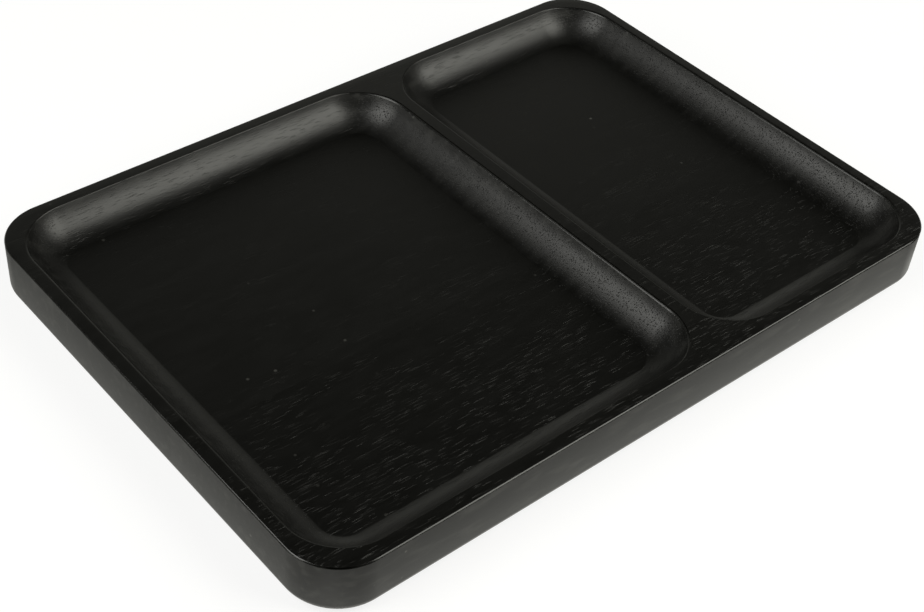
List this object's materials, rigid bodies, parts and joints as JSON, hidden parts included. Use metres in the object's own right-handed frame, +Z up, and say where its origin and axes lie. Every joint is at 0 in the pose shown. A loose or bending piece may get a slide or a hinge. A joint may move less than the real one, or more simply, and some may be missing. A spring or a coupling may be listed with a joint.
{
  "type": "valet tray",
  "caption": "Low wooden valet tray with a large and a small round-cornered, cove-walled pocket, on thin rubber feet.",
  "frame": {"origin": "under the middle of the tray, on the surface that its feet stand on", "axes": "+X along the length from the large pocket to the small one, +Y to the rear, +Z up"},
  "size_m": [0.254, 0.178, 0.0206],
  "materials": {
    "stained_wood": "black-stained open-pored hardwood under a satin clear coat",
    "foot_rubber": "matt black soft rubber"
  },
  "bodies": {
    "root": {"front_stave": "stained_wood", "middle_stave": "stained_wood", "rear_stave": "stained_wood", "foot_front_left": "foot_rubber", "foot_front_right": "foot_rubber", "foot_rear_left": "foot_rubber", "foot_rear_right": "foot_rubber"}
  },
  "joints": []
}
